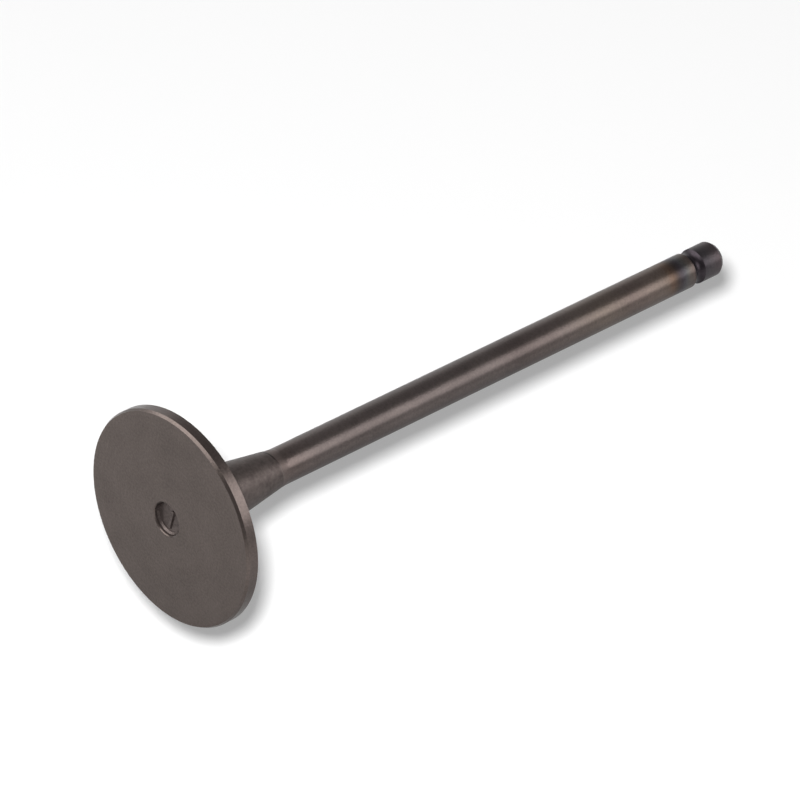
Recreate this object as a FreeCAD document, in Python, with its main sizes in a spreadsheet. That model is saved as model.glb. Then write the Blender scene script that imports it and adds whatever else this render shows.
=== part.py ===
import FreeCAD, Part
import math
import os
import Sketcher

# Engine valve, turned and ground from one steel forging.
# The origin is the centre of the flat head face, on which the valve stands, and +Z runs up the
# stem to the tip. Every section is drawn in the XZ plane, with the radius along X, and turned
# about Z. Lengths are in millimetres and angles in degrees.

SIZES = [
    # alias, value, what it measures
    ("valve_length", 109.7, "head face to tip"),
    ("head_diameter", 32.5, "across the margin"),
    ("stem_diameter", 5.5, "ground stem"),
    ("face_bevel_width", 0.24, "edge bevel of the head face, along the radius"),
    ("face_bevel_height", 0.44, "edge bevel of the head face, along the axis"),
    ("margin_height", 1.9, "head face to the seat's outer edge"),
    ("seat_width", 2.0, "seat, along its slope"),
    ("seat_angle", 30, "seat, from the plane of the head"),
    ("underhead_angle", 20, "underside of the head, from the plane of the head"),
    ("tulip_radius", 7.0, "blend from the underside into the neck"),
    ("neck_angle", 8, "taper of the neck, from the axis"),
    ("neck_end_height", 18.85, "head face to the small end of the neck"),
    ("neck_end_diameter", 5.88, "small end of the neck"),
    ("neck_step_length", 0.4, "short cone from the neck down to the ground stem"),
    ("tip_bevel_width", 0.4, "edge bevel of the tip, along the radius"),
    ("tip_bevel_height", 0.65, "edge bevel of the tip, along the axis"),
    ("keeper_from_tip", 5.2, "tip to the middle of the keeper groove"),
    ("keeper_width", 1.9, "keeper groove, inside its edge bevels"),
    ("keeper_depth", 0.5, "keeper groove, below the stem"),
    ("keeper_edge_bevel", 0.08, "edges of the keeper groove"),
    ("recess_diameter", 5.06, "forged recess in the middle of the head face, inside its lip"),
    ("recess_depth", 0.95, "floor of the recess, from the head face"),
    ("recess_lip_width", 0.15, "lip bevel of the recess, along the radius"),
    ("recess_lip_depth", 0.12, "lip bevel of the recess, along the axis"),
    ("recess_wall_draft", 8, "steep wall of the recess, from the axis"),
    ("recess_foot_height", 0.25, "slope between the steep wall and the floor, along the axis"),
    ("recess_foot_draft", 42, "slope between the steep wall and the floor, from the axis"),
    ("rib_length", 3.0, "plain rib on the floor of the recess"),
    ("rib_width", 0.6, "rib, at the floor"),
    ("rib_height", 0.3, "rib, from the floor towards the head face"),
    ("rib_draft", 20, "sides of the rib, from the axis"),
    ("cut_overrun", 0.5, "how far a cutting section runs past the surface that it opens"),
]

WORKED_OUT = [
    # alias, rule
    ("head_radius", "=head_diameter / 2"),
    ("face_radius", "=head_radius - face_bevel_width"),
    ("seat_end_radius", "=head_radius - seat_width * cos(seat_angle)"),
    ("seat_end_height", "=margin_height + seat_width * sin(seat_angle)"),
    ("neck_end_radius", "=neck_end_diameter / 2"),
    ("stem_radius", "=stem_diameter / 2"),
    ("stem_start_height", "=neck_end_height + neck_step_length"),
    ("stem_end_height", "=valve_length - tip_bevel_height"),
    ("tip_radius", "=stem_radius - tip_bevel_width"),
    ("keeper_height", "=valve_length - keeper_from_tip"),
    ("keeper_edge_radius", "=stem_radius - keeper_edge_bevel"),
    ("keeper_floor_radius", "=stem_radius - keeper_depth"),
    ("keeper_low_edge", "=keeper_height - keeper_width / 2"),
    ("keeper_high_edge", "=keeper_height + keeper_width / 2"),
    ("keeper_low_mouth", "=keeper_low_edge - keeper_edge_bevel"),
    ("keeper_high_mouth", "=keeper_high_edge + keeper_edge_bevel"),
    ("keeper_cut_radius", "=stem_radius + cut_overrun"),
    ("recess_radius", "=recess_diameter / 2"),
    ("recess_mouth_radius", "=recess_radius + recess_lip_width"),
    ("recess_foot_top", "=recess_depth - recess_foot_height"),
    ("recess_wall_height", "=recess_foot_top - recess_lip_depth"),
    ("recess_foot_radius", "=recess_radius - recess_wall_height * tan(recess_wall_draft)"),
    ("recess_floor_radius", "=recess_foot_radius - recess_foot_height * tan(recess_foot_draft)"),
    ("rib_end_radius", "=rib_width / 2"),
    ("rib_end_place", "=rib_length / 2 - rib_end_radius"),
]

ORIGIN = (-1, 1)
AXIS_ACROSS = -1
AXIS_ALONG = -2


def make_sheet(document):
    """Fill the sheet: driving sizes first, then the sizes worked out from them."""
    sheet = document.addObject("Spreadsheet::Sheet", "sizes")
    row = 1
    for alias, value, meaning in SIZES:
        sheet.set(f"A{row}", meaning)
        sheet.set(f"B{row}", str(value))
        sheet.setAlias(f"B{row}", alias)
        row += 1
    document.recompute()
    for alias, rule in WORKED_OUT:
        sheet.set(f"B{row}", rule)
        sheet.setAlias(f"B{row}", alias)
        document.recompute()
        row += 1
    return sheet


def size(alias):
    """Read one size from the sheet."""
    return float(sheet.get(alias))


def new_sketch(body, name, plane):
    """Start a sketch on one of the body's own origin planes."""
    sketch = body.newObject("Sketcher::SketchObject", name)
    found = [item for item in body.Origin.OriginFeatures if item.Role == plane]
    sketch.AttachmentSupport = [(found[0], "")]
    sketch.MapMode = "FlatFace"
    return sketch


def add_line(sketch, start, end):
    """Add a straight edge between two (radius, height) points."""
    line = Part.LineSegment(FreeCAD.Vector(*start, 0), FreeCAD.Vector(*end, 0))
    return sketch.addGeometry(line)


def add_arc(sketch, start, middle, end):
    """Add a round edge through three (radius, height) points."""
    points = [FreeCAD.Vector(*point, 0) for point in (start, middle, end)]
    return sketch.addGeometry(Part.Arc(*points))


def join_edges(sketch, joints):
    """Make each pair of edge ends meet."""
    for first, second in joints:
        sketch.addConstraint(Sketcher.Constraint("Coincident", *first, *second))


def bind(sketch, constraint, rule):
    """Add a constraint whose value follows the sheet."""
    number = sketch.addConstraint(constraint)
    sketch.setExpression(f"Constraints[{number}]", rule)


def hold_radius(sketch, end, alias):
    """Hold one edge end at a radius from the sheet."""
    bind(sketch, Sketcher.Constraint("DistanceX", *ORIGIN, *end, size(alias)), f"sizes.{alias}")


def hold_height(sketch, end, alias):
    """Hold one edge end at a height from the sheet."""
    bind(sketch, Sketcher.Constraint("DistanceY", *ORIGIN, *end, size(alias)), f"sizes.{alias}")


def hold_on_axis(sketch, end, axis=AXIS_ALONG):
    """Keep one edge end on an axis of the sketch."""
    sketch.addConstraint(Sketcher.Constraint("PointOnObject", *end, axis))


def turn(body, kind, name, sketch):
    """Turn a section a full circle about the valve's axis, to add or to cut."""
    feature = body.newObject(kind, name)
    feature.Profile = sketch
    feature.ReferenceAxis = (sketch, ["V_Axis"])
    feature.Angle = 360
    sketch.Visibility = False
    return feature


def tulip_points():
    """Work out the start, middle and end of the blend between the underside and the neck."""
    slope = math.radians(size("underhead_angle"))
    taper = math.radians(size("neck_angle"))
    radius = size("tulip_radius")
    # The blend's centre lies one radius below-outside both straight edges.
    under_normal = (math.sin(slope), math.cos(slope))
    neck_normal = (math.cos(taper), math.sin(taper))
    under_reach = size("seat_end_radius") * under_normal[0] + size("seat_end_height") * under_normal[1]
    neck_reach = size("neck_end_radius") * neck_normal[0] + size("neck_end_height") * neck_normal[1]
    under_reach += radius
    neck_reach += radius
    spread = under_normal[0] * neck_normal[1] - under_normal[1] * neck_normal[0]
    centre = (
        (under_reach * neck_normal[1] - neck_reach * under_normal[1]) / spread,
        (under_normal[0] * neck_reach - neck_normal[0] * under_reach) / spread,
    )
    half_way = (slope + math.pi / 2 - taper) / 2
    turns = (slope, half_way, math.pi / 2 - taper)
    return [
        (centre[0] - radius * math.sin(angle), centre[1] - radius * math.cos(angle))
        for angle in turns
    ]


def draw_valve_section(body):
    """Draw the half section of the plain valve, from the head face round to the tip."""
    sketch = new_sketch(body, "valve_section", "XZ_Plane")
    blend_start, blend_middle, blend_end = tulip_points()
    corners = [
        (0, 0),
        (size("face_radius"), 0),
        (size("head_radius"), size("face_bevel_height")),
        (size("head_radius"), size("margin_height")),
        (size("seat_end_radius"), size("seat_end_height")),
        blend_start,
    ]
    face, bevel, margin, seat, underside = (
        add_line(sketch, start, end) for start, end in zip(corners, corners[1:])
    )
    blend = add_arc(sketch, blend_start, blend_middle, blend_end)
    corners = [
        blend_end,
        (size("neck_end_radius"), size("neck_end_height")),
        (size("stem_radius"), size("stem_start_height")),
        (size("stem_radius"), size("stem_end_height")),
        (size("tip_radius"), size("valve_length")),
        (0, size("valve_length")),
        (0, 0),
    ]
    neck, step, stem, tip_edge, tip, axis = (
        add_line(sketch, start, end) for start, end in zip(corners, corners[1:])
    )
    join_edges(sketch, [
        ((face, 2), (bevel, 1)),
        ((bevel, 2), (margin, 1)),
        ((margin, 2), (seat, 1)),
        ((seat, 2), (underside, 1)),
        ((neck, 2), (step, 1)),
        ((step, 2), (stem, 1)),
        ((stem, 2), (tip_edge, 1)),
        ((tip_edge, 2), (tip, 1)),
        ((tip, 2), (axis, 1)),
        ((axis, 2), (face, 1)),
        ((face, 1), ORIGIN),
    ])

    # head
    hold_on_axis(sketch, (face, 2), AXIS_ACROSS)
    hold_radius(sketch, (face, 2), "face_radius")
    hold_radius(sketch, (bevel, 2), "head_radius")
    hold_height(sketch, (bevel, 2), "face_bevel_height")
    sketch.addConstraint(Sketcher.Constraint("Vertical", margin))
    hold_height(sketch, (margin, 2), "margin_height")
    hold_radius(sketch, (seat, 2), "seat_end_radius")
    hold_height(sketch, (seat, 2), "seat_end_height")

    # underside, blend and neck: the two straight edges run smoothly into the round one
    under_turn = math.radians(180 - size("underhead_angle"))
    neck_turn = math.radians(90 + size("neck_angle"))
    bind(sketch, Sketcher.Constraint("Angle", underside, under_turn), "(180 - sizes.underhead_angle) * 1 deg")
    bind(sketch, Sketcher.Constraint("Angle", neck, neck_turn), "(90 + sizes.neck_angle) * 1 deg")
    blend_ends = arc_ends(sketch, blend, blend_start)
    sketch.addConstraint(Sketcher.Constraint("Tangent", underside, 2, blend, blend_ends[0]))
    sketch.addConstraint(Sketcher.Constraint("Tangent", blend, blend_ends[1], neck, 1))
    bind(sketch, Sketcher.Constraint("Radius", blend, size("tulip_radius")), "sizes.tulip_radius")
    hold_radius(sketch, (neck, 2), "neck_end_radius")
    hold_height(sketch, (neck, 2), "neck_end_height")

    # stem and tip
    hold_radius(sketch, (step, 2), "stem_radius")
    hold_height(sketch, (step, 2), "stem_start_height")
    sketch.addConstraint(Sketcher.Constraint("Vertical", stem))
    hold_height(sketch, (stem, 2), "stem_end_height")
    hold_radius(sketch, (tip_edge, 2), "tip_radius")
    hold_height(sketch, (tip_edge, 2), "valve_length")
    sketch.addConstraint(Sketcher.Constraint("Horizontal", tip))
    hold_on_axis(sketch, (tip, 2))
    return sketch


def arc_ends(sketch, arc, start):
    """Say which end of an arc lies at the given point, as (near end, far end)."""
    first = sketch.getPoint(arc, 1)
    near = math.dist((first.x, first.y), start)
    return (1, 2) if near < 1e-6 else (2, 1)


def draw_recess_section(body):
    """Draw the half section that the recess takes out of the head face."""
    sketch = new_sketch(body, "recess_section", "XZ_Plane")
    below = -size("cut_overrun")
    corners = [
        (0, size("recess_depth")),
        (size("recess_floor_radius"), size("recess_depth")),
        (size("recess_foot_radius"), size("recess_foot_top")),
        (size("recess_radius"), size("recess_lip_depth")),
        (size("recess_mouth_radius"), 0),
        (size("recess_mouth_radius"), below),
        (0, below),
        (0, size("recess_depth")),
    ]
    floor, foot, wall, lip, side, base, axis = (
        add_line(sketch, start, end) for start, end in zip(corners, corners[1:])
    )
    edges = [floor, foot, wall, lip, side, base, axis]
    join_edges(sketch, [((edge, 2), (after, 1)) for edge, after in zip(edges, edges[1:] + [floor])])
    hold_on_axis(sketch, (floor, 1))
    hold_on_axis(sketch, (base, 2))
    hold_height(sketch, (floor, 1), "recess_depth")
    sketch.addConstraint(Sketcher.Constraint("Horizontal", floor))
    hold_radius(sketch, (floor, 2), "recess_floor_radius")
    hold_radius(sketch, (foot, 2), "recess_foot_radius")
    hold_height(sketch, (foot, 2), "recess_foot_top")
    hold_radius(sketch, (wall, 2), "recess_radius")
    hold_height(sketch, (wall, 2), "recess_lip_depth")
    hold_radius(sketch, (lip, 2), "recess_mouth_radius")
    hold_on_axis(sketch, (lip, 2), AXIS_ACROSS)
    sketch.addConstraint(Sketcher.Constraint("Vertical", side))
    sketch.addConstraint(Sketcher.Constraint("Horizontal", base))
    bind(sketch, Sketcher.Constraint("DistanceY", side, 2, *ORIGIN, -below), "sizes.cut_overrun")
    return sketch


def draw_rib(body):
    """Draw the rib's outline on the floor of the recess, as a slot with round ends along Y."""
    sketch = new_sketch(body, "rib_outline", "XY_Plane")
    sketch.AttachmentOffset = FreeCAD.Placement(
        FreeCAD.Vector(0, 0, size("recess_depth")), FreeCAD.Rotation()
    )
    sketch.setExpression("AttachmentOffset.Base.z", "sizes.recess_depth")
    half = size("rib_end_radius")
    place = size("rib_end_place")
    right = add_line(sketch, (half, -place), (half, place))
    top = add_arc(sketch, (half, place), (0, place + half), (-half, place))
    left = add_line(sketch, (-half, place), (-half, -place))
    bottom = add_arc(sketch, (-half, -place), (0, -place - half), (half, -place))
    for first, second in ((right, top), (top, left), (left, bottom), (bottom, right)):
        sketch.addConstraint(Sketcher.Constraint("Tangent", first, 2, second, 1))
    sketch.addConstraint(Sketcher.Constraint("Vertical", right))
    hold_on_axis(sketch, (top, 3))
    hold_on_axis(sketch, (bottom, 3))
    hold_height(sketch, (top, 3), "rib_end_place")
    bind(sketch, Sketcher.Constraint("DistanceY", bottom, 3, *ORIGIN, place), "sizes.rib_end_place")
    bind(sketch, Sketcher.Constraint("Radius", top, half), "sizes.rib_end_radius")
    return sketch


def draw_keeper_section(body):
    """Draw the half section of the keeper groove: a round floor between two bevelled edges."""
    sketch = new_sketch(body, "keeper_section", "XZ_Plane")
    corners = [
        (size("keeper_edge_radius"), size("keeper_high_edge")),
        (size("stem_radius"), size("keeper_high_mouth")),
        (size("keeper_cut_radius"), size("keeper_high_mouth")),
        (size("keeper_cut_radius"), size("keeper_low_mouth")),
        (size("stem_radius"), size("keeper_low_mouth")),
        (size("keeper_edge_radius"), size("keeper_low_edge")),
    ]
    high_bevel, high_side, outside, low_side, low_bevel = (
        add_line(sketch, start, end) for start, end in zip(corners, corners[1:])
    )
    deepest = (size("keeper_floor_radius"), size("keeper_height"))
    floor = add_arc(sketch, corners[-1], deepest, corners[0])
    low_end, high_end = arc_ends(sketch, floor, corners[-1])
    join_edges(sketch, [
        ((high_bevel, 2), (high_side, 1)),
        ((high_side, 2), (outside, 1)),
        ((outside, 2), (low_side, 1)),
        ((low_side, 2), (low_bevel, 1)),
        ((low_bevel, 2), (floor, low_end)),
        ((floor, high_end), (high_bevel, 1)),
    ])
    hold_radius(sketch, (high_bevel, 1), "keeper_edge_radius")
    hold_height(sketch, (high_bevel, 1), "keeper_high_edge")
    hold_radius(sketch, (high_bevel, 2), "stem_radius")
    hold_height(sketch, (high_bevel, 2), "keeper_high_mouth")
    sketch.addConstraint(Sketcher.Constraint("Horizontal", high_side))
    hold_radius(sketch, (outside, 1), "keeper_cut_radius")
    sketch.addConstraint(Sketcher.Constraint("Vertical", outside))
    sketch.addConstraint(Sketcher.Constraint("Horizontal", low_side))
    hold_radius(sketch, (low_bevel, 1), "stem_radius")
    hold_height(sketch, (low_bevel, 1), "keeper_low_mouth")
    hold_radius(sketch, (low_bevel, 2), "keeper_edge_radius")
    hold_height(sketch, (low_bevel, 2), "keeper_low_edge")
    # The floor's radius follows from its width and depth: half chord and sagitta.
    half_chord = "sizes.keeper_width / 2"
    sagitta = "(sizes.keeper_depth - sizes.keeper_edge_bevel)"
    floor_radius = sketch.Geometry[floor].Radius
    bind(
        sketch,
        Sketcher.Constraint("Radius", floor, floor_radius),
        f"(({half_chord}) ^ 2 + {sagitta} ^ 2) / (2 * {sagitta})",
    )
    return sketch


def make_valve(document):
    """Build the valve: turned blank, forged recess with its rib, then the keeper groove."""
    body = document.addObject("PartDesign::Body", "valve")
    body.Label = "valve"
    body.Placement = FreeCAD.Placement()
    turn(body, "PartDesign::Revolution", "turned_blank", draw_valve_section(body))
    document.recompute()
    whole = body.Shape.Volume

    turn(body, "PartDesign::Groove", "face_recess", draw_recess_section(body))
    document.recompute()
    recessed = body.Shape.Volume

    rib = body.newObject("PartDesign::Pad", "recess_rib")
    rib.Profile = draw_rib(body)
    rib.Reversed = True
    rib.setExpression("Length", "sizes.rib_height")
    rib.setExpression("TaperAngle", "-sizes.rib_draft")
    rib.Profile[0].Visibility = False
    document.recompute()
    ribbed = body.Shape.Volume

    groove = turn(body, "PartDesign::Groove", "keeper_groove", draw_keeper_section(body))
    body.Tip = groove
    document.recompute()
    grooved = body.Shape.Volume
    steps = {"blank": whole, "recessed": recessed, "ribbed": ribbed, "grooved": grooved}
    print("volumes in mm3:", ", ".join(f"{name} {volume:.2f}" for name, volume in steps.items()))
    if not (recessed < whole and ribbed > recessed and grooved < ribbed):
        raise RuntimeError("a cut or the rib changed nothing")
    return body


def check_document(document, bodies):
    """Stop if any object failed or any body is empty, broken or more than one solid."""
    for item in document.Objects:
        if "Invalid" in item.State or "Error" in item.State:
            raise RuntimeError(f"{item.Name} failed: {item.State}")
        if item.isDerivedFrom("Sketcher::SketchObject") and item.solve() != 0:
            raise RuntimeError(f"{item.Name} does not solve")
    for body in bodies:
        if body.Shape.isNull() or not body.Shape.isValid():
            raise RuntimeError(f"{body.Label} has no sound shape")
        if len(body.Shape.Solids) != 1:
            raise RuntimeError(f"{body.Label} is not one solid")


document = FreeCAD.newDocument("engine_valve")
sheet = make_sheet(document)
valve = make_valve(document)
document.recompute()
check_document(document, [valve])

os.makedirs("parts", exist_ok=True)
for body in [valve]:
    body.Shape.exportStep(f"parts/{body.Label}.step")
    box = body.Shape.BoundBox
    print(f"{body.Label}: {box.XLength:.3f} x {box.YLength:.3f} x {box.ZLength:.3f} mm")
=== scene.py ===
import math

import bpy
from mathutils import Matrix, Quaternion, Vector


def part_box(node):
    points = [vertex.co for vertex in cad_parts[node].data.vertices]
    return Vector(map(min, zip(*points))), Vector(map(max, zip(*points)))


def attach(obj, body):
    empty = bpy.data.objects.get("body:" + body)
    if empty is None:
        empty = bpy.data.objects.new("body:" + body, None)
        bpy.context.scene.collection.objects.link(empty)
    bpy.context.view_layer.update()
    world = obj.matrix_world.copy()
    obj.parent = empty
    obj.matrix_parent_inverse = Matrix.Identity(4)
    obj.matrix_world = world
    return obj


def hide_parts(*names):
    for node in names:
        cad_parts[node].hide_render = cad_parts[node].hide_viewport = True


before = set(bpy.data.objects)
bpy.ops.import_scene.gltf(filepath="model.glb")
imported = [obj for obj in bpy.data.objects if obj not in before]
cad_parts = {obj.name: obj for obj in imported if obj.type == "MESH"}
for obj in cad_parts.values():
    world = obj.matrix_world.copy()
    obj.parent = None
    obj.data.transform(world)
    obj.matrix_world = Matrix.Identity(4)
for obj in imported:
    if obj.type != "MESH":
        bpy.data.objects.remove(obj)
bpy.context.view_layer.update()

# Turned valve
# One steel forging, turned and ground but for the neck, underside and recess, which keep their
# forged skin. It is modelled as it is turned: a ring is walked along the outline, from the floor
# of the recess in the head face, out over the rim and up the stem to the tip.
MM = 0.001
# Lengths are in millimetres. A pair is a radius and a height, or a place across the axis.
VALVE_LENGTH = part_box("valve")[1].z / MM
HEAD_RADIUS = 16.25
STEM_RADIUS = 2.75
FACE_BEVEL = (0.24, 0.44)
MARGIN_HEIGHT = 1.9
SEAT_WIDTH = 2.0
SEAT_ANGLE = math.radians(30)
UNDERSIDE_ANGLE = math.radians(20)
TULIP_RADIUS = 7.0
NECK_TAPER = math.radians(8)
NECK_END = (2.94, 18.85)
RUN_OUT_END = (2.81, 19.75)
GROUND_START = 20.3
# The neck was forged a little beside the stem's axis, and its skin ends on a slanted line.
NECK_PLACE = (-0.07, -0.052)
SLANT = math.radians(-7)
SLANT_LINE = (0.6, -0.8)
SLANT_NORMAL = (SLANT_LINE[1] * math.sin(-SLANT), -SLANT_LINE[0] * math.sin(-SLANT), 1)
TIP_BEVEL = (0.4, 0.65)
KEEPER_HEIGHT = VALVE_LENGTH - 5.2
KEEPER_WIDTH = 1.9
KEEPER_DEPTH = 0.5
KEEPER_BEVEL = 0.08
# The recess was forged off the centre, with a tilted floor and a foot that is wide on one side.
RECESS_RADIUS = 2.53
RECESS_DEPTH = 0.88
RECESS_PLACE = (-0.45, 0.27)
RECESS_FLOOR_PLACE = (-0.47, 0.17)
RECESS_LIP = (0.15, 0.12)
RECESS_WALL_DRAFT = math.radians(8)
RECESS_FOOT = (0.15, 0.43)
RECESS_TILT = math.radians(4.5)
RECESS_TILT_LINE = (0.97, -0.23)
RIB_PLACE = (-0.16, 0.5)
RIB_SIZE = (0.6, 3.0, 0.3)
RIB_DRAFT = math.radians(20)
RIB_EDGE = 0.06
RIB_EDGE_STEPS = 3
FACING = 0.5
EDGE_BREAK = 0.05
EDGE_BREAK_STEPS = 2
EDGE_BREAK_FROM = math.radians(4)
MERGE_WITHIN = 0.001
TURN_STEPS = 240
BLEND_STEPS = 24
KEEPER_STEPS = 12


def metres(x, y, z):
    """Turn a place in millimetres to metres."""
    return (x * MM, y * MM, z * MM)


def blend_outline():
    """Give the points of the round blend between the underside and the neck."""
    seat_end = (
        HEAD_RADIUS - SEAT_WIDTH * math.cos(SEAT_ANGLE),
        MARGIN_HEIGHT + SEAT_WIDTH * math.sin(SEAT_ANGLE),
    )
    under = Vector((math.sin(UNDERSIDE_ANGLE), math.cos(UNDERSIDE_ANGLE)))
    neck = Vector((math.cos(NECK_TAPER), math.sin(NECK_TAPER)))
    under_reach = under.dot(seat_end) + TULIP_RADIUS
    neck_reach = neck.dot(NECK_END) + TULIP_RADIUS
    spread = under.cross(neck)
    centre = Vector((
        (under_reach * neck.y - neck_reach * under.y) / spread,
        (neck_reach * under.x - under_reach * neck.x) / spread,
    ))
    first, last = UNDERSIDE_ANGLE, math.pi / 2 - NECK_TAPER
    turns = [first + (last - first) * step / BLEND_STEPS for step in range(BLEND_STEPS + 1)]
    arc = [centre - TULIP_RADIUS * Vector((math.sin(turn), math.cos(turn))) for turn in turns]
    return [seat_end] + [tuple(point) for point in arc]


def keeper_outline():
    """Give the points of the keeper groove: a round floor between two bevelled edges."""
    half_width = KEEPER_WIDTH / 2
    sagitta = KEEPER_DEPTH - KEEPER_BEVEL
    floor_radius = (half_width ** 2 + sagitta ** 2) / (2 * sagitta)
    half_turn = math.asin(half_width / floor_radius)
    centre = STEM_RADIUS - KEEPER_DEPTH + floor_radius
    points = [(STEM_RADIUS, KEEPER_HEIGHT - half_width - KEEPER_BEVEL)]
    for step in range(KEEPER_STEPS + 1):
        turn = half_turn * (2 * step / KEEPER_STEPS - 1)
        points.append((
            centre - floor_radius * math.cos(turn),
            KEEPER_HEIGHT + floor_radius * math.sin(turn),
        ))
    return points + [(STEM_RADIUS, KEEPER_HEIGHT + half_width + KEEPER_BEVEL)]


def select_facing(way):
    """Select the faces that look up, for a way of 1, or down, for -1, and go to edit mode."""
    bpy.ops.object.mode_set(mode="OBJECT")
    for face in valve.data.polygons:
        face.select = face.normal.z * way > FACING
    bpy.ops.object.mode_set(mode="EDIT")


def tilt(angle, line, middle):
    """Tilt what is selected about a line across the axis, through the middle given."""
    for axis, share in zip("XY", line):
        bpy.ops.transform.rotate(value=angle * share, orient_axis=axis, center_override=middle)


# The rib in the recess: a bar without its top face, narrowed towards its free side.
bpy.ops.object.select_all(action="DESELECT")
bpy.ops.mesh.primitive_cube_add(
    size=MM,
    scale=RIB_SIZE,
    location=metres(*RIB_PLACE, RECESS_DEPTH - RIB_SIZE[2] / 2),
)
valve = bpy.context.object
valve.name = "valve_body"
bpy.ops.object.transform_apply(location=True, scale=True)
bpy.ops.object.mode_set(mode="EDIT")
bpy.ops.mesh.select_mode(type="FACE")
bpy.ops.mesh.select_all(action="DESELECT")
select_facing(1)
bpy.ops.mesh.delete(type="ONLY_FACE")
select_facing(-1)
taper = 2 * RIB_SIZE[2] * math.tan(RIB_DRAFT)
bpy.ops.transform.resize(value=(1 - taper / RIB_SIZE[0], 1 - taper / RIB_SIZE[1], 1))
bpy.ops.mesh.select_all(action="SELECT")
bpy.ops.mesh.bevel(offset=RIB_EDGE * MM, segments=RIB_EDGE_STEPS)

# The floor of the recess, filled in round the rib's foot and tilted with it.
foot_top = RECESS_DEPTH - RECESS_FOOT[1]
foot_radius = RECESS_RADIUS - (foot_top - RECESS_LIP[1]) * math.tan(RECESS_WALL_DRAFT)
floor_radius = foot_radius - RECESS_FOOT[0]
floor_middle = metres(*RECESS_FLOOR_PLACE, RECESS_DEPTH)
bpy.ops.mesh.select_all(action="DESELECT")
bpy.ops.mesh.primitive_circle_add(
    vertices=TURN_STEPS, radius=floor_radius * MM, location=floor_middle,
)
bpy.ops.mesh.select_mode(type="EDGE")
bpy.ops.mesh.select_all(action="DESELECT")
bpy.ops.mesh.select_non_manifold()
bpy.ops.mesh.fill()
bpy.ops.mesh.select_all(action="SELECT")
tilt(RECESS_TILT, RECESS_TILT_LINE, floor_middle)

# The walk: the open edge is drawn out to each point of the outline and brought to its radius.
blend = blend_outline()
outline = [
    (foot_radius, foot_top),
    (RECESS_RADIUS, RECESS_LIP[1]),
    (RECESS_RADIUS + RECESS_LIP[0], 0),
    (HEAD_RADIUS - FACE_BEVEL[0], 0),
    (HEAD_RADIUS, FACE_BEVEL[1]),
    (HEAD_RADIUS, MARGIN_HEIGHT),
    *blend,
    NECK_END,
    RUN_OUT_END,
    (STEM_RADIUS, GROUND_START),
    *keeper_outline(),
    (STEM_RADIUS, VALVE_LENGTH - TIP_BEVEL[1]),
    (STEM_RADIUS - TIP_BEVEL[0], VALVE_LENGTH),
]
centres = {
    # radius at which the middle of the rings moves, and where it moves to
    foot_radius: RECESS_PLACE,
    HEAD_RADIUS - FACE_BEVEL[0]: (0, 0),
    blend[1][0]: NECK_PLACE,
    RUN_OUT_END[0]: (NECK_PLACE[0] / 2, NECK_PLACE[1] / 2),
    STEM_RADIUS: (0, 0),
}
tilts = {
    # height at which the rings tilt, and how
    foot_top: (-RECESS_TILT, RECESS_TILT_LINE),
    NECK_END[1]: (SLANT, SLANT_LINE),
    GROUND_START: (-SLANT, SLANT_LINE),
}
bpy.ops.mesh.select_all(action="DESELECT")
bpy.ops.mesh.select_non_manifold()
here = (floor_radius, RECESS_DEPTH)
centre = RECESS_FLOOR_PLACE
for radius, height in outline:
    across = [there - now for there, now in zip(centres.get(radius, centre), centre)]
    centre = centres.get(radius, centre)
    move = metres(*across, height - here[1])
    bpy.ops.mesh.extrude_edges_move(TRANSFORM_OT_translate={"value": move})
    middle = metres(*centre, height)
    widen = radius / here[0]
    bpy.ops.transform.resize(value=(widen, widen, 1), center_override=middle)
    if height in tilts:
        tilt(*tilts[height], middle)
    if height in (foot_top, GROUND_START):
        # The ring that ends a tilt is laid level.
        bpy.ops.transform.resize(value=(1, 1, 0), center_override=middle)
    here = (radius, height)
bpy.ops.mesh.edge_face_add()
bpy.ops.mesh.select_all(action="SELECT")
bpy.ops.mesh.normals_make_consistent(inside=False)
bpy.ops.object.mode_set(mode="OBJECT")

edges = valve.modifiers.new("edge_break", "BEVEL")
edges.width = EDGE_BREAK * MM
edges.segments = EDGE_BREAK_STEPS
edges.limit_method = "ANGLE"
edges.angle_limit = EDGE_BREAK_FROM
edges.harden_normals = True
bpy.ops.object.shade_smooth()
bpy.ops.object.modifier_apply(modifier="edge_break")
bpy.ops.object.mode_set(mode="EDIT")
bpy.ops.mesh.select_all(action="SELECT")
bpy.ops.mesh.remove_doubles(threshold=MERGE_WITHIN * MM)
bpy.ops.object.mode_set(mode="OBJECT")

# Ground steel
# Valve steel, turned and ground, then hardened in a nitriding salt bath. The eye sees a satin
# brown grey with a fine speckle and faint rings. Hardening the tip by induction has left temper
# colours: straw, brown, then violet and blue up to the black of the groove.
TEMPER_COLOURS = [
    # height in mm, colour
    (0.2, "#5d5450"),
    (1.0, "#5a514e"),
    (20.0, "#5e5451"),
    (27.0, "#5a5250"),
    (60.0, "#5a5250"),
    (66.0, "#584f4d"),
    (76.0, "#5d5451"),
    (84.0, "#635953"),
    (90.0, "#5f5450"),
    (96.0, "#655a54"),
    (97.6, "#60544d"),
    (98.4, "#5f4e44"),
    (99.2, "#51433b"),
    (100.0, "#403938"),
    (100.8, "#3f3a3e"),
    (101.4, "#484649"),
    (102.0, "#4e4c4b"),
    (102.7, "#564f4b"),
    (103.3, "#554b47"),
    (103.6, "#353034"),
    (105.4, "#353034"),
    (106.0, "#444043"),
    (107.2, "#484345"),
    (108.8, "#4e4648"),
]
TEMPER_WAVER = 0.35
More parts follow.
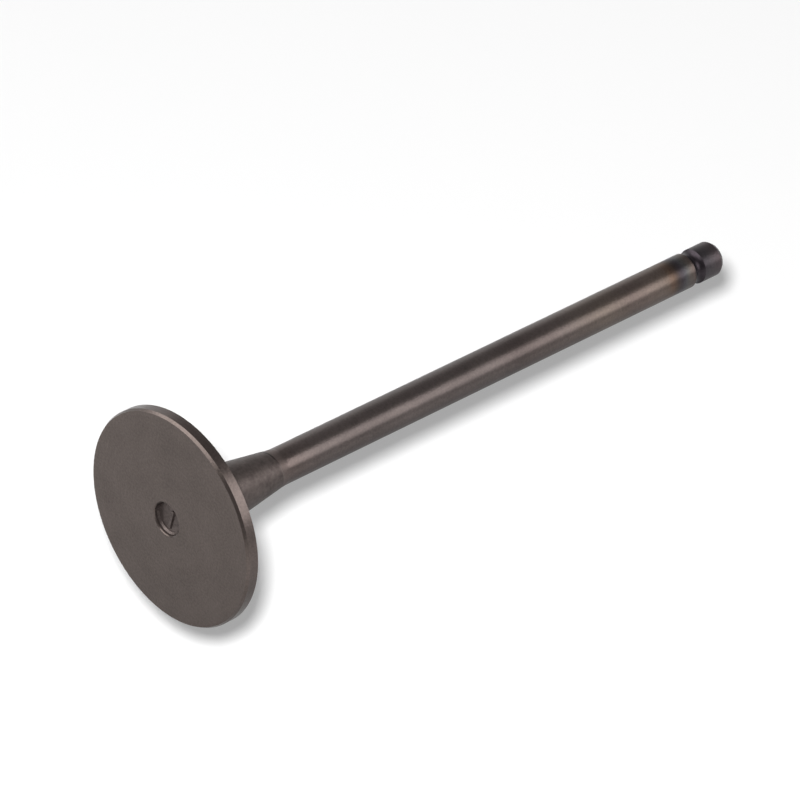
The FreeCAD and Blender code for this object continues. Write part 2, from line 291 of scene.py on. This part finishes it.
# The real speckle and rings are too fine to show in the render, so both are drawn coarser.
# Rings and bands have a pitch along the outline, and a length over which they change round it.
SPECKLE = 0.35
RING_PITCH = 0.5
RING_LENGTH = 50 / 3
BAND_PITCH = 9.0
BAND_LENGTH = 100 / 3
CLOUD = 5.0
CLOUD_RANGE = (0.3, 0.7)
BASE_TONE = 0.32
SPECKLE_TONE = 0.6
RING_TONE = 0.16
BAND_TONE = 0.2
CLOUD_TONE = 0.4
RING_RELIEF = 0.5
STEEL_RELIEF = 0.018
# The head and the start of the stem are smoother than the rest of it, and the tip is rougher.
# A fade runs between two heights.
STEEL_ROUGHNESS = 0.33
RING_ROUGHNESS = 0.05
HEAD_POLISH = -0.06
HEAD_POLISH_FADE = (20.0, 27.0)
TIP_ROUGHNESS = 0.38
TIP_FADE = (105.4, 105.8)
# The grinding wheel ran out in the last millimetre before the neck, which it left rougher.
WHEEL_END_MIDDLE = 19.4
WHEEL_END_REACH = 0.8
WHEEL_END_FADE = (19.3, 20.3)
WHEEL_END_TONE = 0.13
WHEEL_END_ROUGHNESS = 0.15


def linear(colour):
    """Turn an sRGB hex colour to linear values."""
    parts = [int(colour[place:place + 2], 16) / 255 for place in (1, 3, 5)]
    return [part / 12.92 if part <= 0.04045 else ((part + 0.055) / 1.055) ** 2.4 for part in parts]


def add(tree, kind, settings=None, **links):
    """Add a node with its settings and inputs, where i0, i1 and so on are inputs by number."""
    node = tree.nodes.new(kind)
    for name, value in (settings or {}).items():
        setattr(node, name, value)
    for name, value in links.items():
        socket = node.inputs[int(name[1:]) if name[1:].isdigit() else name.replace("_", " ")]
        if isinstance(value, bpy.types.NodeSocket):
            tree.links.new(value, socket)
        else:
            socket.default_value = value
    return node


def emptied(owner):
    """Turn on an owner's nodes, clear them and give their tree."""
    owner.use_nodes = True
    owner.node_tree.nodes.clear()
    return owner.node_tree


def set_stops(ramp, colours, length=1):
    """Give a ramp its stops: places along the length, with a colour. It starts with two."""
    for number, (place, colour) in enumerate(colours):
        stop = ramp.elements[number] if number < 2 else ramp.elements.new(1.0)
        stop.position = place / length
        stop.color = (*linear(colour), 1)


steel = bpy.data.materials.new("nitrided_ground_steel")
tree = emptied(steel)
place = add(tree, "ShaderNodeTexCoord").outputs["Object"]
parts = add(tree, "ShaderNodeSeparateXYZ", Vector=place)
flat = add(tree, "ShaderNodeMapping", Vector=place, Scale=(1, 1, 0))
from_axis = add(tree, "ShaderNodeVectorMath", {"operation": "LENGTH"}, i0=flat.outputs["Vector"])
# The distance walked along the outline turns into rings on the face and on the stem.
walk = add(
    tree, "ShaderNodeMath", {"operation": "ADD"},
    i0=parts.outputs["Z"], i1=from_axis.outputs["Value"],
)
walked = add(
    tree, "ShaderNodeCombineXYZ",
    X=parts.outputs["X"], Y=parts.outputs["Y"], Z=walk.outputs["Value"],
)
speckle = add(
    tree, "ShaderNodeTexNoise",
    Vector=place, Scale=1 / (SPECKLE * MM), Detail=2.0, Roughness=0.6,
)
fine_rings = add(
    tree, "ShaderNodeMapping", Vector=walked.outputs["Vector"],
    Scale=(1 / (RING_LENGTH * MM), 1 / (RING_LENGTH * MM), 1 / (RING_PITCH * MM)),
)
rings = add(tree, "ShaderNodeTexNoise", Vector=fine_rings.outputs["Vector"], Scale=1.0, Detail=2.0)
wide_rings = add(
    tree, "ShaderNodeMapping", Vector=walked.outputs["Vector"],
    Scale=(1 / (BAND_LENGTH * MM), 1 / (BAND_LENGTH * MM), 1 / (BAND_PITCH * MM)),
)
bands = add(tree, "ShaderNodeTexNoise", Vector=wide_rings.outputs["Vector"], Scale=1.0, Detail=1.0)
cloud = add(tree, "ShaderNodeTexNoise", Vector=place, Scale=1 / (CLOUD * MM), Detail=2.0)
# The temper colours waver a little round the stem.
waver = add(
    tree, "ShaderNodeMapRange", i0=cloud.outputs["Fac"],
    i1=CLOUD_RANGE[0], i2=CLOUD_RANGE[1], i3=-TEMPER_WAVER * MM, i4=TEMPER_WAVER * MM,
)
wavered = add(
    tree, "ShaderNodeMath", {"operation": "ADD"},
    i0=parts.outputs["Z"], i1=waver.outputs["Result"],
)
share = add(
    tree, "ShaderNodeMath", {"operation": "DIVIDE"},
    i0=wavered.outputs["Value"], i1=VALVE_LENGTH * MM,
)
temper = add(tree, "ShaderNodeValToRGB", Fac=share.outputs["Value"])
set_stops(temper.color_ramp, TEMPER_COLOURS, VALVE_LENGTH)
wheel_zone = add(
    tree, "ShaderNodeMath", {"operation": "COMPARE"},
    i0=parts.outputs["Z"], i1=WHEEL_END_MIDDLE * MM, i2=WHEEL_END_REACH * MM,
)
wheel_fade = add(
    tree, "ShaderNodeMapRange", {"interpolation_type": "SMOOTHSTEP"},
    i0=parts.outputs["Z"],
    i1=WHEEL_END_FADE[0] * MM, i2=WHEEL_END_FADE[1] * MM, i3=1.0, i4=0.0,
)
wheel_end = add(
    tree, "ShaderNodeMath", {"operation": "MULTIPLY"},
    i0=wheel_fade.outputs["Result"], i1=wheel_zone.outputs["Value"],
)
tone = BASE_TONE
for pattern, strength in (
    (speckle.outputs["Fac"], SPECKLE_TONE),
    (rings.outputs["Fac"], RING_TONE),
    (bands.outputs["Fac"], BAND_TONE),
    (cloud.outputs["Fac"], CLOUD_TONE),
    (wheel_end.outputs["Value"], WHEEL_END_TONE),
):
    tone = add(
        tree, "ShaderNodeMath", {"operation": "MULTIPLY_ADD"},
        i0=pattern, i1=strength, i2=tone,
    ).outputs["Value"]
colour = add(tree, "ShaderNodeHueSaturation", Value=tone, Color=temper.outputs["Color"])
tip_gloss = add(
    tree, "ShaderNodeMapRange", i0=parts.outputs["Z"],
    i1=TIP_FADE[0] * MM, i2=TIP_FADE[1] * MM, i3=STEEL_ROUGHNESS, i4=TIP_ROUGHNESS,
)
gloss = add(
    tree, "ShaderNodeMath", {"operation": "MULTIPLY_ADD"},
    i0=rings.outputs["Fac"], i1=RING_ROUGHNESS, i2=tip_gloss.outputs["Result"],
)
head_gloss = add(
    tree, "ShaderNodeMapRange", i0=parts.outputs["Z"],
    i1=HEAD_POLISH_FADE[0] * MM, i2=HEAD_POLISH_FADE[1] * MM, i3=HEAD_POLISH, i4=0.0,
)
gloss = add(
    tree, "ShaderNodeMath", {"operation": "ADD"},
    i0=gloss.outputs["Value"], i1=head_gloss.outputs["Result"],
)
gloss = add(
    tree, "ShaderNodeMath", {"operation": "MULTIPLY_ADD"},
    i0=wheel_end.outputs["Value"], i1=WHEEL_END_ROUGHNESS, i2=gloss.outputs["Value"],
)
relief = add(
    tree, "ShaderNodeMath", {"operation": "MULTIPLY_ADD"},
    i0=rings.outputs["Fac"], i1=RING_RELIEF, i2=speckle.outputs["Fac"],
)
bump = add(
    tree, "ShaderNodeBump",
    Strength=1.0, Distance=STEEL_RELIEF * MM, Height=relief.outputs["Value"],
)
shader = add(
    tree, "ShaderNodeBsdfPrincipled",
    Base_Color=colour.outputs["Color"],
    Metallic=1.0,
    Roughness=gloss.outputs["Value"],
    Normal=bump.outputs["Normal"],
)
add(tree, "ShaderNodeOutputMaterial", Surface=shader.outputs["BSDF"])
valve.data.materials.append(steel)

# Forged skin
# The neck, the underside and the recess are left as the die and the shot blasting left them,
# under the same salt bath finish. The eye sees a darker, duller and mottled brown.
SKIN_COLOURS = [
    # tone, colour
    (0.25, "#2a2523"),
    (0.55, "#463e3c"),
    (1.0, "#605754"),
]
GRIT = 0.5
GRIT_TONE = 0.7
GRIT_BASE = 0.15
PATCH = 2.2
PATCH_TONE = 0.6
# A seam runs along the slanted line where the skin ends. Along it a painted shadow line darkens
# one side of the neck and a painted highlight lightens the other. Each is a place across the neck,
# and what the seam adds to the tone there.
SEAM_BELOW = 0.15
SEAM_REACH = 0.15
SEAM_PAINTED_HIGHLIGHT = (-0.3, 0.25)
SEAM_PAINTED_SHADE = (1.5, -0.4)
SKIN_RELIEF = 0.03
SKIN_PAST_SEAM = 0.1
RECESS_REACH = (4.0, RECESS_DEPTH + 0.3)
skin = bpy.data.materials.new("forged_skin")
tree = emptied(skin)
place = add(tree, "ShaderNodeTexCoord").outputs["Object"]
grit = add(
    tree, "ShaderNodeTexNoise",
    Vector=place, Scale=1 / (GRIT * MM), Detail=3.0, Roughness=0.6,
)
patch = add(tree, "ShaderNodeTexNoise", Vector=place, Scale=1 / (PATCH * MM), Detail=2.0)
tone = add(
    tree, "ShaderNodeMath", {"operation": "MULTIPLY_ADD"},
    i0=grit.outputs["Fac"], i1=GRIT_TONE, i2=GRIT_BASE,
)
tone = add(
    tree, "ShaderNodeMath", {"operation": "MULTIPLY_ADD"},
    i0=patch.outputs["Fac"], i1=PATCH_TONE, i2=tone.outputs["Value"],
)
slanted = add(
    tree, "ShaderNodeVectorMath", {"operation": "DOT_PRODUCT"}, i0=place, i1=SLANT_NORMAL,
)
# The band along the seam that carries the painted shadow and the painted highlight.
painted_seam_band = add(
    tree, "ShaderNodeMath", {"operation": "COMPARE"},
    i0=slanted.outputs["Value"], i1=(NECK_END[1] - SEAM_BELOW) * MM, i2=SEAM_REACH * MM,
)
to_one_side = add(
    tree, "ShaderNodeVectorMath", {"operation": "DOT_PRODUCT"},
    i0=place, i1=(SLANT_LINE[1], -SLANT_LINE[0], 0),
)
# Painted shade on one side of the neck, painted highlight on the other.
seam_painted_light_and_shade = add(
    tree, "ShaderNodeMapRange", i0=to_one_side.outputs["Value"],
    i1=SEAM_PAINTED_HIGHLIGHT[0] * MM, i2=SEAM_PAINTED_SHADE[0] * MM, i3=SEAM_PAINTED_HIGHLIGHT[1], i4=SEAM_PAINTED_SHADE[1],
)
tone = add(
    tree, "ShaderNodeMath", {"operation": "MULTIPLY_ADD"},
    i0=painted_seam_band.outputs["Value"], i1=seam_painted_light_and_shade.outputs["Result"], i2=tone.outputs["Value"],
)
colour = add(tree, "ShaderNodeValToRGB", Fac=tone.outputs["Value"])
set_stops(colour.color_ramp, SKIN_COLOURS)
bump = add(
    tree, "ShaderNodeBump",
    Strength=1.0, Distance=SKIN_RELIEF * MM, Height=grit.outputs["Fac"],
)
shader = add(
    tree, "ShaderNodeBsdfPrincipled",
    Base_Color=colour.outputs["Color"],
    Metallic=0.9,
    Roughness=0.42,
    Normal=bump.outputs["Normal"],
)
add(tree, "ShaderNodeOutputMaterial", Surface=shader.outputs["BSDF"])
valve.data.materials.append(skin)
seat_height = blend[0][1]
for face in valve.data.polygons:
    centre = face.center / MM
    neck = centre.z > seat_height and centre.dot(SLANT_NORMAL) < NECK_END[1] + SKIN_PAST_SEAM
    recess = RECESS_LIP[1] < centre.z < RECESS_REACH[1] and centre.xy.length < RECESS_REACH[0]
    face.material_index = 1 if neck or recess else 0
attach(valve, "root")
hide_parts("valve")

# Camera
# A long lens, below the head face and to the side of the valve, turned so that the stem
# leans away to the upper right of the picture.
AIM = Vector((-0.83, -0.62, 44.69)) * MM
CAMERA_AZIMUTH = math.radians(36.81)
CAMERA_ELEVATION = math.radians(-36.60)
CAMERA_DISTANCE = 643.8 * MM
STEM_LEAN = math.radians(25.74)
back = Vector((
    math.sin(CAMERA_AZIMUTH) * math.cos(CAMERA_ELEVATION),
    -math.cos(CAMERA_AZIMUTH) * math.cos(CAMERA_ELEVATION),
    math.sin(CAMERA_ELEVATION),
))
camera_data = bpy.data.cameras.new("camera")
camera_data.lens = 201.54
camera_data.sensor_width = 36
camera_data.clip_start = 0.05
camera_data.clip_end = 20
camera = bpy.data.objects.new("camera", camera_data)
bpy.context.scene.collection.objects.link(camera)
camera.location = AIM + back * CAMERA_DISTANCE
upright = (-back).to_track_quat("-Z", "Y")
leaning = upright @ Quaternion((0, 0, 1), math.pi / 2 - STEM_LEAN)
camera.rotation_mode = "QUATERNION"
camera.rotation_quaternion = leaning
bpy.context.scene.camera = camera

# Floor
# The photograph shows the valve lying over, with an even soft shadow. So beside the standing
# part the floor is a wide upright sheet, parallel to the stem. From behind it is see-through.
LIE_TOWARDS = math.radians(83.4)
FLOOR_GAP = 73 * MM
FLOOR_SIDE = 4.0
PAPER_COLOUR = "#f2f2f2"
WHITE_SHARE = 0.096
# What the steel mirrors is a darker sheet than the white one that the camera sees: painted shade
# in an oval below the stem and in a spot beside it, and painted light that turns it white far out.
# A place is along and across the sheet, from its middle, and a tone goes from the first to the
# second over its reach.
OVAL_PLACE = (45 * MM, 0)
OVAL_STRETCH = 0.5
OVAL_REACH = (20 * MM, 155 * MM)
OVAL_PAINTED_SHADE = (0.41, 0.92)
SPOT_PLACE = (60 * MM, 90 * MM)
SPOT_STRETCH = 0.7
SPOT_REACH = (50 * MM, 100 * MM)
SPOT_PAINTED_SHADE = (0.4, 1.0)
FAR_REACH = (150 * MM, 500 * MM)
FAR_PAINTED_LIGHT = 0.6
floor_normal = Vector((-math.cos(LIE_TOWARDS), -math.sin(LIE_TOWARDS), 0))
stem_line = Vector((0, 0, 1))
turned = Matrix((stem_line, floor_normal.cross(stem_line), floor_normal)).transposed()
bpy.ops.object.select_all(action="DESELECT")
bpy.ops.mesh.primitive_plane_add(
    size=FLOOR_SIDE,
    location=AIM - (AIM.dot(floor_normal) + FLOOR_GAP) * floor_normal,
    rotation=turned.to_euler(),
)
floor = bpy.context.object
floor.name = "floor"
paper = bpy.data.materials.new("paper_and_painted_shade")
tree = emptied(paper)
place = add(tree, "ShaderNodeTexCoord").outputs["Object"]
# Painted shade in what the steel mirrors: the sheet darkens in an oval below the stem.
oval = add(
    tree, "ShaderNodeMapping", Vector=place,
    Scale=(OVAL_STRETCH, 1, 1),
    Location=(-OVAL_STRETCH * OVAL_PLACE[0], -OVAL_PLACE[1], 0),
)
reach = add(tree, "ShaderNodeVectorMath", {"operation": "LENGTH"}, i0=oval.outputs["Vector"])
oval_painted_shade = add(
    tree, "ShaderNodeMapRange", i0=reach.outputs["Value"],
    i1=OVAL_REACH[0], i2=OVAL_REACH[1], i3=OVAL_PAINTED_SHADE[0], i4=OVAL_PAINTED_SHADE[1],
)
# Painted shade in a second darker spot beside the stem.
spot = add(
    tree, "ShaderNodeMapping", Vector=place,
    Scale=(SPOT_STRETCH, 1, 1),
    Location=(-SPOT_STRETCH * SPOT_PLACE[0], -SPOT_PLACE[1], 0),
)
spot_reach = add(tree, "ShaderNodeVectorMath", {"operation": "LENGTH"}, i0=spot.outputs["Vector"])
spot_painted_shade = add(
    tree, "ShaderNodeMapRange", i0=spot_reach.outputs["Value"],
    i1=SPOT_REACH[0], i2=SPOT_REACH[1], i3=SPOT_PAINTED_SHADE[0], i4=SPOT_PAINTED_SHADE[1],
)
# Both painted shades together give the tone of the sheet that the steel mirrors.
sheet_painted_shade = add(
    tree, "ShaderNodeMath", {"operation": "MULTIPLY"},
    i0=oval_painted_shade.outputs["Result"], i1=spot_painted_shade.outputs["Result"],
)
painted_shade_sheet = add(tree, "ShaderNodeBsdfDiffuse", Color=sheet_painted_shade.outputs["Value"])
white = add(tree, "ShaderNodeEmission", Color=(1, 1, 1, 1), Strength=1.0)
# Painted light: far out, the sheet that the steel mirrors glows towards white.
far_painted_light = add(
    tree, "ShaderNodeMapRange", i0=reach.outputs["Value"],
    i1=FAR_REACH[0], i2=FAR_REACH[1], i3=0.0, i4=FAR_PAINTED_LIGHT,
)
# What the steel mirrors: the sheet with its painted shade, turning to painted light far out.
painted_light_and_shade_sheet = add(
    tree, "ShaderNodeMixShader",
    i0=far_painted_light.outputs["Result"], i1=painted_shade_sheet.outputs["BSDF"], i2=white.outputs["Emission"],
)
sheet = add(tree, "ShaderNodeBsdfDiffuse", Color=(*linear(PAPER_COLOUR), 1))
bright = add(
    tree, "ShaderNodeMixShader",
    i0=WHITE_SHARE, i1=sheet.outputs["BSDF"], i2=white.outputs["Emission"],
)
ray = add(tree, "ShaderNodeLightPath")
front = add(
    tree, "ShaderNodeMixShader",
    i0=ray.outputs["Is Camera Ray"], i1=painted_light_and_shade_sheet.outputs["Shader"], i2=bright.outputs["Shader"],
)
facing = add(tree, "ShaderNodeNewGeometry")
clear = add(tree, "ShaderNodeBsdfTransparent")
both_sides = add(
    tree, "ShaderNodeMixShader",
    i0=facing.outputs["Backfacing"], i1=front.outputs["Shader"], i2=clear.outputs["BSDF"],
)
add(tree, "ShaderNodeOutputMaterial", Surface=both_sides.outputs["Shader"])
floor.data.materials.append(paper)

# Light
# Four softboxes give the steel its highlights: a large one high on the left, a small one low on
# the right with a weak one under it, and one low behind. A small lamp beside the camera lights
# the floor evenly and casts the soft shadow.
SOFTBOX_DISTANCE = 0.9
SOFTBOXES = {
    # azimuth and elevation in degrees over the floor, width and height in metres, power in watts
    "key": (179, 51, 1.3, 1.15, 14.5),
    "strip": (-6.5, 25.2, 0.5, 0.6, 2.93),
    "back": (114, 19, 0.95, 0.5, 0.95),
    "low": (-8, 3, 0.5, 0.16, 0.15),
}
# The offset is from the camera to its right and up.
FLOOR_LAMP_OFFSET = Vector((-8.2, 14.8, 0)) * MM
FLOOR_LAMP_SIZE = 19 * MM
FLOOR_LAMP_POWER = 7.0
FLOOR_LAMP_STRENGTH = 1.93
ROOM_STRENGTH = 0.36


def hang_lamp(name, shape, power, place, turn):
    """Hang an area lamp at a place, out of the camera's sight."""
    lamp = bpy.data.objects.new(name, bpy.data.lights.new(name, "AREA"))
    bpy.context.scene.collection.objects.link(lamp)
    lamp.data.shape = shape
    lamp.data.energy = power
    lamp.location = place
    lamp.rotation_mode = "QUATERNION"
    lamp.rotation_quaternion = turn
    lamp.visible_camera = False
    return lamp


to_right = leaning @ Vector((1, 0, 0))
away = floor_normal.cross(to_right).normalized()
for name, (azimuth, elevation, width, height, power) in SOFTBOXES.items():
    turn, rise = math.radians(azimuth), math.radians(elevation)
    level = math.cos(turn) * to_right + math.sin(turn) * away
    towards = math.cos(rise) * level + math.sin(rise) * floor_normal
    across = floor_normal.cross(towards).normalized()
    turned = Matrix((across, towards.cross(across), towards)).transposed()
    box_place = AIM + towards * SOFTBOX_DISTANCE
    softbox = hang_lamp(name, "RECTANGLE", power, box_place, turned.to_quaternion())
    softbox.data.size = width
    softbox.data.size_y = height
    softbox.visible_diffuse = False
lamp_place = camera.location + leaning @ FLOOR_LAMP_OFFSET
floor_lamp = hang_lamp("floor_lamp", "DISK", FLOOR_LAMP_POWER, lamp_place, leaning)
floor_lamp.data.size = FLOOR_LAMP_SIZE
floor_lamp.visible_glossy = False
tree = emptied(floor_lamp.data)
even = add(tree, "ShaderNodeLightFalloff", Strength=FLOOR_LAMP_STRENGTH)
glow = add(tree, "ShaderNodeEmission", Color=(1, 1, 1, 1), Strength=even.outputs["Constant"])
add(tree, "ShaderNodeOutputLight", Surface=glow.outputs["Emission"])
world = bpy.data.worlds.new("studio")
bpy.context.scene.world = world
tree = emptied(world)
ray = add(tree, "ShaderNodeLightPath")
room = add(tree, "ShaderNodeBackground", Color=(1, 1, 1, 1), Strength=ROOM_STRENGTH)
white = add(tree, "ShaderNodeBackground", Color=(1, 1, 1, 1), Strength=1.0)
mix = add(
    tree, "ShaderNodeMixShader",
    i0=ray.outputs["Is Camera Ray"], i1=room.outputs["Background"], i2=white.outputs["Background"],
)
add(tree, "ShaderNodeOutputWorld", Surface=mix.outputs["Shader"])

bpy.context.scene.view_settings.view_transform = "Standard"
